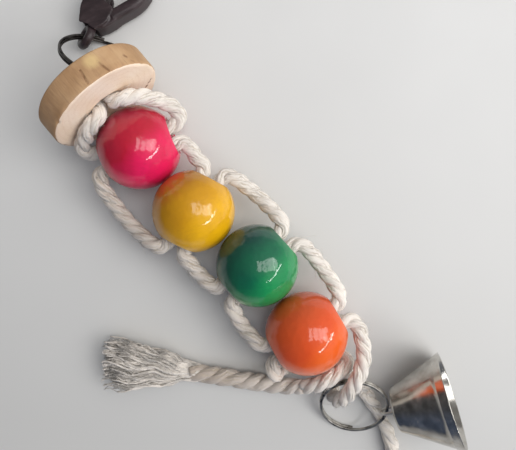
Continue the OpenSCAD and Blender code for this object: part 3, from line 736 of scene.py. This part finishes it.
def brushed_yarns(middle, start_radius, end_width, end_height, count, thickness, wave, seed, ragged=0.0):
    """Brushed-out yarns: each starts at its place in the cord's section and fans out to its place in a
    wide, low fan. They keep the waves of the lay they came out of, a sine of about 15 mm whose phase goes
    slowly across the fan, with a little of their own sway, and never go below the floor. ragged adds
    sway towards the tips."""
    rng = np.random.default_rng(seed)
    line, marks = even_steps(curve_through(middle, 6), YARN_STEP * MM)
    steps = len(line)
    share = marks / marks[-1]
    ahead, _, _ = carried_frames(line)
    side = unit(np.cross(ahead, (0, 0, 1)))
    up = np.cross(side, ahead)
    angle = rng.uniform(0, 2 * np.pi, count)
    ring = np.sqrt(rng.uniform(0, 1, count))
    fan = np.clip(ring * np.cos(angle) * 0.7 + rng.normal(0, 0.35, count), -1, 1)
    spread = share[None] ** 0.8
    sideways = (ring * np.cos(angle))[:, None] * start_radius * (1 - spread) + (
        fan[:, None] * end_width * spread)
    upwards = (ring * np.sin(angle))[:, None] * start_radius * (1 - spread * 0.6) + (
        rng.uniform(-1, 1, count)[:, None] * end_height * spread)
    phase = fan[:, None] * 1.6 + rng.normal(0, 0.25, (count, 1))
    pace = marks[-1] / (15 * MM) * rng.uniform(0.9, 1.15, (count, 1))
    grow = np.clip(share[None] * 4, 0, 1)
    sway = wave * grow * rng.uniform(0.5, 1.2, (count, 1))
    own = rng.uniform(0, 2 * np.pi, (2, count, 1))
    sideways = sideways + sway * np.sin(2 * np.pi * pace * share + phase) + (
        (0.12 * wave + ragged * share[None] ** 2) * np.sin(2 * np.pi * 2.6 * pace * share + own[0]))
    upwards = upwards + 0.7 * sway * np.cos(2 * np.pi * pace * share + phase) + (
        ragged * share[None] ** 2 * np.sin(2 * np.pi * 1.7 * pace * share + own[1]))
    reach = rng.uniform(0.80, 1.04, (count, 1))
    index = np.clip(share[None] * reach, 0, 1) * (steps - 1)
    along = np.stack([np.interp(index.ravel(), np.arange(steps), line[:, k]).reshape(count, steps)
                      for k in range(3)], axis=-1)
    curve = along + sideways[..., None] * side[None] + upwards[..., None] * up[None]
    curve[..., 2] = np.maximum(curve[..., 2], thickness * 1.1)
    thinner = thickness * (1 - 0.45 * share[None] ** 2)
    radii = thinner * rng.uniform(0.75, 1.15, (count, 1)) * np.ones((1, steps))
    return tube_points(curve, radii, YARN_SIDES)


def free_end(names, nodes, route, radius, lay, looseness, seed, end, fans, cotton, yarn):
    """One free end of the cord: its laid tail along a route, and the tassel of yarns and thin tips fanned
    out of it. names and nodes are the tail's and the tassel's, radius gives the tail's radius along its
    line."""
    path = curve_through(mm(route), CURVE_STEPS)
    grids, marks = strands(path, radius, lay, looseness, seed)
    tail = put_mesh(names[0], [(grids, False, True)], "string", [cotton], [nodes[0]],
                    strand_uv(CORD_STEP, STRAND_SIDES))
    tassel = put_mesh(names[1], [(brushed_yarns(mm(end), **fan), False, True) for fan in fans], "string",
                      [yarn], [nodes[1]], strand_uv(YARN_STEP, YARN_SIDES))


class OBJECT_OT_bird_cord(bpy.types.Operator):
    """Makes the laid cord, its tails, its brushed-out ends and its stray fibres"""
    bl_idname = "object.bird_cord"
    bl_label = "Laid cord"

    def execute(self, context):
        s = context.scene.bird_cord
        # each material takes the share of painted shade that greys its -Y side, and the strength of the
        # painted shade between its yarns and of its fibre marks
        cotton = undyed_cotton("undyed laid cotton", s.colour[:], slant=4.0, painted_shade_share=0.95, groove_shade_and_fibre_marks=1.0)
        yarn = undyed_cotton("undyed cotton yarn", s.colour[:], slant=6.0, painted_shade_share=0.15, groove_shade_and_fibre_marks=0.3)
        route = curve_through(mm(CORD_ROUTE), CURVE_STEPS)
        grids, _ = strands(route, pinched(s.radius, NIP, 0.6, 9), s.lay)
        put_mesh("laid_cord", [(grids, False, True)], "string", [cotton], ["rope"],
                 strand_uv(CORD_STEP, STRAND_SIDES))
        fuzz = loose_fibres(route, s.radius, count=5200, length=1.7 * MM, seed=11, thickness=0.035 * MM)
        stray = loose_fibres(route, s.radius, count=420, length=3.4 * MM, seed=12, thickness=0.05 * MM)
        put_mesh("cotton_fuzz", [(fuzz, False, True), (stray, False, True)], "string", [yarn], (),
                 strand_uv(CORD_STEP, FIBRE_SIDES))

        def opening(line):
            return np.interp(np.arange(len(line)), [0, 14], [s.radius, s.tail_radius])

        fans = (
            dict(start_radius=s.tail_radius * 0.74, end_width=9.5 * MM, end_height=2.2 * MM, count=s.yarns,
                 thickness=0.50 * MM, wave=0.75 * MM, seed=3),
            dict(start_radius=s.tail_radius * 0.7, end_width=9.8 * MM, end_height=3.2 * MM, count=s.yarns,
                 thickness=0.2 * MM, wave=0.9 * MM, seed=6, ragged=0.35 * MM),
        )
        free_end(("loosened_tail", "brushed_tassel"), ("long_tail", "long_tassel"), LONG_ROUTE, opening,
                 s.lay * 1.16, 0.25, 5, LONG_END, fans, cotton, yarn)
        fans = (
            dict(start_radius=s.radius * 0.85, end_width=4.2 * MM, end_height=3.0 * MM, count=s.yarns // 2,
                 thickness=0.6 * MM, wave=0.8 * MM, seed=4),
            dict(start_radius=s.radius * 0.85, end_width=4.4 * MM, end_height=3.0 * MM, count=s.yarns,
                 thickness=0.2 * MM, wave=0.8 * MM, seed=7, ragged=0.4 * MM),
        )
        free_end(("second_laid_tail", "second_brushed_tassel"), ("second_tail", "second_tassel"),
                 SECOND_ROUTE, pinched(s.radius, UNDER_RING, 0.8, 7), s.lay, 0.2, 8, SECOND_END,
                 fans, cotton, yarn)
        return {"FINISHED"}


class OBJECT_OT_bird_beads(bpy.types.Operator):
    """Makes the four lacquered wooden beads"""
    bl_idname = "object.bird_beads"
    bl_label = "Lacquered beads"

    def execute(self, context):
        s = context.scene.bird_beads
        mouth = 0.9 * MM
        open_angle = np.arcsin((s.bore + mouth) / s.radius)
        outside = np.linspace(open_angle, np.pi - open_angle, 60)
        profile = beside(s.radius * np.sin(outside), s.radius * np.cos(outside))
        # the mouth's rounding is a quarter of an ellipse from the sphere into the bore
        t = np.linspace(0, np.pi / 2, 7)[1:]
        edge = s.radius * np.cos(open_angle)
        corner = beside(s.bore + mouth * (1 - np.sin(t)), -edge + 1.4 * mouth * (1 - np.cos(t)))
        back = corner[::-1] * (1, -1)
        profile = np.concatenate([profile, corner, back])
        # each: name, colour, the deep tone of the -X side (thicker dye and painted shade, also the grain's
        # tint), the bright tone of the +X side (dye and painted light), and a stain (tint, centre, reach)
        looks = (
            ("pink lacquered beech", s.pink, "#a2243a", "#e61a58", None),
            ("yellow lacquered beech", s.yellow, "#ad7614", "#e8ae0c",
             ("#bf5a22", (-24.0, -13.5, 22.5), 9.5)),
            ("green lacquered beech", s.green, "#14463f", "#179150", None),
            ("orange lacquered beech", s.orange, "#cf5426", "#ec641c", None),
        )
        for index, (node, (name, colour, deep_dye_and_shade, bright, stain)) in enumerate(zip(BEADS, looks)):
            axis, across = bead_axis(index)
            uneven = ripple(turn_angles(BEAD_SEGMENTS), seed=20 + index, waves=5, lowest=2)
            waves = uneven[:, None] * np.sin(np.linspace(0, np.pi, len(profile)))[None] * 0.05 * MM
            grid = revolve(profile, mm(BEAD_PLACES[index]), axis, across, BEAD_SEGMENTS, waves)
            material = lacquered_wood(name, colour[:], deep_dye_and_shade, bright, BEAD_PLACES[index],
                                      np.radians(BEAD_TURNS[index]), stain)
            put_mesh("lacquered_" + node, [(grid, True, True)], node[5:] + "_bead",
                     [material], [node])
        return {"FINISHED"}


class OBJECT_OT_bird_disc(bpy.types.Operator):
    """Makes the sawn and bored wooden disc"""
    bl_idname = "object.bird_disc"
    bl_label = "Wooden disc"

    def execute(self, context):
        s = context.scene.bird_disc
        angle = np.radians(DISC_TURN)
        axis = -np.array([np.cos(angle), np.sin(angle), 0])
        across = np.array([0.0, 0.0, 1.0])
        edge, mouth = 0.8 * MM, 1.8 * MM
        quarter = np.linspace(0, np.pi / 2, 5)
        face_radii = np.linspace(s.hole + mouth, s.radius - edge, 12)
        # Front face outwards, the rounded rim, the back face inwards, then the bore with its worn mouths
        front = beside(face_radii, 0)
        rim_front = beside(s.radius - edge + edge * np.sin(quarter), edge * (1 - np.cos(quarter)))[1:]
        side = beside(s.radius, np.linspace(edge, s.thickness - edge, 9)[1:-1])
        rim_back = rim_front[::-1] * (1, -1) + (0, s.thickness)
        back = front[::-1] + (0, s.thickness)
        bore_back = beside(s.hole + mouth * (1 - np.sin(quarter)),
                           s.thickness - mouth * (1 - np.cos(quarter)))[1:]
        bore_front = bore_back[::-1] * (1, -1) + (0, s.thickness)
        profile = np.concatenate([front, rim_front, side, rim_back, back, bore_back, bore_front])
        rows_round = len(rim_front) + len(side) + len(rim_back)
        # 0 for the sawn faces and the bore, 1 for the round side
        kinds = np.concatenate([np.zeros(len(front) + 1), np.ones(rows_round - 2), np.zeros(len(profile))])
        angles = turn_angles(DISC_SEGMENTS)
        waves = np.zeros((DISC_SEGMENTS, len(profile)))
        first = len(front)
        uneven = ripple(angles, seed=30, waves=6, lowest=2)
        waves[:, first:first + rows_round] = uneven[:, None] * 0.12 * MM - 0.12 * MM
        dents = np.minimum(0, ripple(angles, seed=31, waves=40, lowest=12))
        waves[:, first:first + 3] += dents[:, None] * 0.5 * MM
        grid = revolve(profile, mm(DISC_FACE), axis, across, DISC_SEGMENTS, waves)
        put_mesh("sawn_disc", [(grid, True, True)], "disc",
                 [sawn_wood_face("sawn pine end"), turned_wood_side("peeled pine side")], ["wood_disc"],
                 material_of=lambda row, column: kinds[column[:, 0]].astype(np.int32))
        return {"FINISHED"}


def split_ring(name, place, body, node, material, s):
    """A split ring: wire through two full turns. It stays in the upper layer from the first angle to the
    second, leans down through the gap like a tilted circle, and runs on round in the lower layer."""
    middle, tilt, azimuth, start, stop = place
    first, second, third = ring_axes(tilt, azimuth)
    step = (s.wire_height + 0.1 * MM) / 2
    half = (start + 360 - stop) / 2
    turn = np.arange(start, stop + 360 + 0.1, 3.0)
    fall = step * np.sin(np.radians(turn - (stop + half))) / np.sin(np.radians(min(half, 90)))
    height = np.where(turn <= stop, step, np.where(turn >= start + 360, -step, -fall))
    a = np.radians(turn)[:, None]
    outward = np.cos(a) * first + np.sin(a) * second
    line = mm(middle) + s.ring_radius * outward + height[:, None] * third
    ahead = unit(np.gradient(line, axis=0))
    size = np.tile((s.wire_width / 2, s.wire_height / 2), (len(turn), 1))
    grid = tube_points(line, size, 16, ahead, outward, unit(np.cross(ahead, outward)), 0.62)
    return put_mesh(name, [(grid, False, True)], body, [material], [node])


class OBJECT_OT_bird_rings(bpy.types.Operator):
    """Makes the two split rings"""
    bl_idname = "object.bird_rings"
    bl_label = "Split rings"

    def execute(self, context):
        s = context.scene.bird_metal
        dark = drawn_steel("oiled spring steel", "#6d6966", "#3c3937", 0.30)
        bright = drawn_steel("bright spring steel", "#c4c0b8", "#75716c", 0.3)
        split_ring("upper_split_ring", UPPER_RING, "upper_ring", "upper_ring", dark, s)
        split_ring("lower_split_ring", LOWER_RING, "lower_ring", "lower_ring", bright, s)
        return {"FINISHED"}


def flat_wire(line, across, radius, sides, ahead=None):
    """A round wire in the plane that across stands square to: a closed loop, or a straight rod where
    ahead, its direction, is given."""
    loop = ahead is None
    ahead = (unit(np.roll(line, -1, axis=0) - np.roll(line, 1, axis=0)) if loop
             else np.repeat(ahead[None], len(line), axis=0))
    side = np.repeat(across[None], len(line), axis=0)
    points = tube_points(line, np.full(len(line), radius), sides, ahead, side, np.cross(ahead, side))
    return points[1:-1] if loop else points


def moulded_copy(name, node, body, material, grain, passes, filling=()):
    """The CAD node's own faces, melted into one skin of small even faces and smoothed, which rounds the
    edges as in a mould. filling lists blocks (outline, lowest, highest) in the hook's own frame that melt
    in with them: the fillets where the arm leaves the base."""
    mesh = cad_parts[node].data.copy()
    work = bmesh.new()
    work.from_mesh(mesh)
    bmesh.ops.remove_doubles(work, verts=work.verts, dist=1e-6)
    for outline, lowest, highest in filling:
        low, high = ([work.verts.new((HOOK_MIDDLE + x * MM * HOOK_ACROSS + y * MM * HOOK_AHEAD
                                      + (0, 0, z * MM)).tolist()) for x, y in outline]
                     for z in (lowest, highest))
        work.faces.new(low[::-1])
        work.faces.new(high)
        for k in range(len(outline)):
            after = (k + 1) % len(outline)
            work.faces.new((low[k], low[after], high[after], high[k]))
    work.to_mesh(mesh)
    work.free()
    mesh.materials.clear()
    mesh.materials.append(material)
    piece = finish_piece(name, mesh, body, [node])
    melt = piece.modifiers.new("one skin", "REMESH")
    melt.mode = "VOXEL"
    melt.voxel_size = grain
    melt.use_smooth_shade = True
    soften = piece.modifiers.new("rounded edges", "SMOOTH")
    soften.factor = 0.5
    soften.iterations = passes
    return piece


class OBJECT_OT_bird_hook(bpy.types.Operator):
    """Finishes the moulded hook, its gate, pin, spring and swivel eye"""
    bl_idname = "object.bird_hook"
    bl_label = "Snap hook"

    def execute(self, context):
        nylon = moulded_nylon("moulded nylon")
        steel = drawn_steel("pin steel", "#8c8a88", "#5a5856", 0.28)
        web = (((3.4, 3.4), (5.9, 5.2), (8.0, 8.0), (9.2, 10.2), (7.4, 11.2), (5.4, 8.4)), -3.3, 3.3)
        moulded_copy("moulded_hook_body", "hook_body", "hook", nylon, grain=0.22 * MM, passes=14,
                     filling=[web])
        moulded_copy("moulded_hook_gate", "hook_gate", "hook_gate", nylon, grain=0.2 * MM, passes=7)
        for node, material in (("swivel_eye", nylon), ("gate_pin", steel), ("gate_spring", steel)):
            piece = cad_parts[node]
            if not piece.material_slots:
                raise RuntimeError(node + " has no material slot")
            for slot in piece.material_slots:
                slot.material = material
        return {"FINISHED"}


class OBJECT_OT_bird_bell(bpy.types.Operator):
    """Makes the pressed bell, its wire staple and its clapper"""
    bl_idname = "object.bird_bell"
    bl_label = "Bell"

    def execute(self, context):
        s = context.scene.bird_metal
        axis, down, across = bell_axes()
        middle = mm(BELL_CROWN)
        plate = nickel_plate("bright nickel plate")
        wire = drawn_steel("nickelled wire", "#f2f0ec", "#d2cfca", 0.3)
        length, wall, dome = s.bell_length, s.wall, 1.4 * MM
        band = length - 3.2 * MM
        band_radius = s.mouth_radius - 1.6 * MM
        # Outside from the crown's middle to the lip, then inside back again
        knots = np.array([(0, -dome), (3 * MM, -dome + 0.05 * MM), (5.4 * MM, -dome + 0.4 * MM),
                          (s.crown_radius - 0.7 * MM, -0.4 * MM), (s.crown_radius - 0.15 * MM, 0.1 * MM),
                          (s.crown_radius, 0.6 * MM)])
        flare = np.linspace(0, 1, 14)[1:]
        body = beside(s.crown_radius + (band_radius - s.crown_radius) * flare,
                      0.6 * MM + (band - 0.6 * MM) * flare)
        rim = s.mouth_radius
        lip = np.array([
            (band_radius + 0.18 * MM, band + 0.15 * MM), (band_radius + 0.3 * MM, band + 0.5 * MM),
            (band_radius + 0.9 * MM, band + 1.8 * MM), (rim - 0.15 * MM, length - 0.3 * MM),
            (rim - 0.05 * MM, length - 0.08 * MM), (rim - wall * 0.5, length),
            (rim - wall * 0.95, length - 0.1 * MM), (rim - wall, length - 0.4 * MM)])
        inside = np.concatenate([knots, body])[::-1]
        inside = inside + np.where(inside[:, :1] > 6 * MM, (-wall, 0), (0, wall))
        inside[:, 0] = np.maximum(inside[:, 0], 0)
        profile = np.concatenate([knots, body, lip, inside])
        share = np.clip(profile[:, 1] / length, 0, 1)
        uneven = ripple(turn_angles(BELL_SEGMENTS), seed=40, waves=4, lowest=2)
        waves = uneven[:, None] * share[None] * 0.06 * MM
        grid = revolve(profile, middle, axis, down, BELL_SEGMENTS, waves)
        put_mesh("pressed_bell", [(grid, True, False)], "bell", [plate], ["bell_shell"])

        # Staple: up one leg, round the outer bow, down the other leg, and round the bow inside
        bow = 2.2 * MM
        half_turn = np.linspace(0, np.pi, 17)
        outer = beside(bow * np.cos(half_turn), BOW_OUT * MM - bow * np.sin(half_turn))
        inner = beside(-bow * np.cos(half_turn), BOW_IN * MM + bow * np.sin(half_turn))
        legs = np.linspace(BOW_OUT * MM, BOW_IN * MM, 9)[1:-1]
        loop = np.concatenate([outer, beside(-bow, legs), inner, beside(bow, legs[::-1])])
        ring = flat_wire(middle + loop[:, :1] * down + loop[:, 1:] * axis, across, 0.55 * MM, 16)
        put_mesh("wire_staple", [(ring, True, True)], "bell", [wire], ["bell_staple"])

        # Clapper: an eye round the staple, a straight stem and a cast ball
        lean = np.radians(CLAPPER_LEAN)
        stem = np.cos(lean) * axis + np.sin(lean) * down
        hinge = middle + BOW_IN * MM * axis
        level = np.cross(across, stem)
        turn = np.linspace(0, 2 * np.pi, 33)[:-1, None]
        eye = flat_wire(hinge + 2.3 * MM * stem + 1.35 * MM * (np.cos(turn) * stem + np.sin(turn) * level),
                        across, 0.4 * MM, 12)
        t = np.linspace(0, 1, 16)[:, None]
        rod = flat_wire(hinge + (3.65 * MM + t * 6.0 * MM) * stem, across, 0.4 * MM, 12, stem)
        put_mesh("clapper_wire", [(eye, True, True), (rod, False, True)], "clapper", [wire],
                 ["clapper_rod"])
        polar = np.linspace(0, np.pi, 25)
        ball = beside(3.3 * MM * np.sin(polar), -3.3 * MM * np.cos(polar))
        # a raised mould seam round the ball's middle
        ball[:, 0] += 0.06 * MM * np.exp(-((polar - np.pi / 2) / 0.08) ** 2)
        grid = revolve(ball, hinge + 10 * MM * stem, stem, across, BALL_SEGMENTS)
        put_mesh("cast_ball", [(grid, True, False)], "clapper", [plate], ["clapper_ball"])
        return {"FINISHED"}


class OBJECT_OT_bird_stage(bpy.types.Operator):
    """Sets the floor, the window light, the room around and the camera"""
    bl_idname = "object.bird_stage"
    bl_label = "Stage"

    def execute(self, context):
        scene = context.scene
        scene.view_settings.view_transform = "Standard"
        lens = bpy.data.cameras.new("camera")
        lens.sensor_width = SENSOR
        lens.lens = SENSOR * FOCAL_PIXELS / PICTURE_PIXELS
        lens.clip_start = 0.01
        camera = put_object("camera", lens)
        camera.location = CAMERA_PLACE
        turned = np.radians(CAMERA_TURN)
        camera.rotation_euler = (0, 0, turned)
        scene.camera = camera

        # the picture's right and down on the table
        right = np.array([np.cos(turned), np.sin(turned), 0])
        below = np.array([np.sin(turned), -np.cos(turned), 0])
        up = np.array([0.0, 0.0, 1.0])
        # name, direction towards it (right, below, up), distance, size, power, long side and colour
        lamps = [("slit", (0.77, 0.34, 0.60), 0.66, (0.62, 0.032), 1.2, (1, -0.6), (1.0, 1.0, 1.0))]
        # five panes side by side make one wide window with narrow bars
        for pane in range(5):
            aside = (pane - 2) * 0.20
            lamps.append(("pane %d" % pane, (0.50 + aside, -0.04, 0.80), 0.62, (0.104, 0.33), 0.37, (1, 0),
                          (1.0, 0.995, 0.985)))
        for name, place, distance, size, power, long_side, colour in lamps:
            light = bpy.data.lights.new(name, "AREA")
            light.shape = "RECTANGLE"
            light.size, light.size_y = size
            light.energy = power
            light.color = colour
            toward = unit(place[0] * right + place[1] * below + place[2] * up)
            wide = long_side[0] * right + long_side[1] * below
            wide = unit(wide - wide @ toward * toward)
            turn = np.stack([wide, np.cross(toward, wide), toward], axis=1)
            put_object(name, light).matrix_world = (
                Matrix.Translation(toward * distance) @ Matrix(turn.tolist()).to_4x4())

        world = scene.world or bpy.data.worlds.new("room")
        scene.world = world
        world.use_nodes = True
        tree = world.node_tree
        where = add_node("ShaderNodeTexCoord", {}, tree).outputs["Generated"]
        across_room = vector("DOT_PRODUCT", where, unit(right - below * 0.25 + up * 0.2))
        shade = ramp(grey_ramp(across_room, -1.0, 1.0),
                     [(0.0, "#58585c"), (0.5, "#a8a8a7"), (1.0, "#fbfaf8")])
        # the dark blue clothes of someone standing below the picture
        person = vector("DOT_PRODUCT", where, unit(below + up * 0.35 - right * 0.2))
        shade = mix(grey_ramp(person, 0.45, 0.85), shade, "#66748f")
        rays = add_node("ShaderNodeLightPath", {}, tree).outputs
        # lacquer and plate mirror a dimmer room than the one that lights the table
        shade = mix(rays["Is Glossy Ray"], shade, mix(0.5, shade, "#101012"))
        fill(tree.nodes["Background"],
             {"Color": mix(rays["Is Camera Ray"], shade, BACKDROP), "Strength": 1.0})

        table = bpy.data.meshes.new("table")
        reach = np.linspace(-3, 3, 25)
        x, y = np.meshgrid(reach, reach, indexing="ij")
        points = beside(x, y, 0)
        quads, _, _ = grid_faces((1, *x.shape), False, False)
        table.from_pydata(points.reshape(-1, 3).tolist(), [], quads[:, ::-1].tolist())
        laminate, shader, where = new_material("white laminate", {
            "Roughness": 0.55, "Specular IOR Level": 0.3})
        tree = laminate.node_tree
        clean = ramp(noise(where, 60.0, 2.0), [(0.3, "#dedddb"), (0.7, "#e3e2e0")])
        # painted shade: the table is darker farther from the window, where its light falls off
        down = vector("DOT_PRODUCT", where, below - right * 0.1)
        painted_table_shade = grey_ramp(down, -90 * MM, 90 * MM)
        fill(shader, {"Base Color": mix(painted_table_shade, clean, "#c6c5c3")})
        # far off, the table runs out into the pale backdrop
        far = grey_ramp(vector("LENGTH", where), 0.35, 1.3)
        seen = add_node("ShaderNodeLightPath", {}, tree).outputs["Is Camera Ray"]
        glow = add_node("ShaderNodeEmission", {"Color": linear(BACKDROP), "Strength": 1.0}, tree)
        both = add_node("ShaderNodeMixShader", {
            0: times(far, seen), 1: shader.outputs[0], 2: glow.outputs[0]})
        fill(tree.nodes["Material Output"], {"Surface": both.outputs[0]})
        table.materials.append(laminate)
        put_object("table", table)
        return {"FINISHED"}


OPERATORS = (OBJECT_OT_bird_stage, OBJECT_OT_bird_cord, OBJECT_OT_bird_beads, OBJECT_OT_bird_disc,
             OBJECT_OT_bird_rings, OBJECT_OT_bird_hook, OBJECT_OT_bird_bell)


class VIEW3D_PT_bird_toy(bpy.types.Panel):
    """Lists the bird toy's operators"""
    bl_label = "Bird toy"
    bl_space_type = "VIEW_3D"
    bl_region_type = "UI"
    bl_category = "Bird toy"

    def draw(self, context):
        for operator in OPERATORS:
            self.layout.operator(operator.bl_idname)


def register():
    for settings in SETTINGS.values():
        bpy.utils.register_class(settings)
    for name, settings in SETTINGS.items():
        setattr(bpy.types.Scene, name, PointerProperty(type=settings))
    for operator in OPERATORS:
        bpy.utils.register_class(operator)
    bpy.utils.register_class(VIEW3D_PT_bird_toy)


def unregister():
    bpy.utils.unregister_class(VIEW3D_PT_bird_toy)
    for operator in reversed(OPERATORS):
        bpy.utils.unregister_class(operator)
    for name, settings in SETTINGS.items():
        delattr(bpy.types.Scene, name)
        bpy.utils.unregister_class(settings)


def main():
    register()
    bpy.ops.object.bird_stage()
    bpy.ops.object.bird_cord()
    bpy.ops.object.bird_beads()
    bpy.ops.object.bird_disc()
    bpy.ops.object.bird_rings()
    bpy.ops.object.bird_hook()
    bpy.ops.object.bird_bell()


if __name__ == "__main__":
    main()
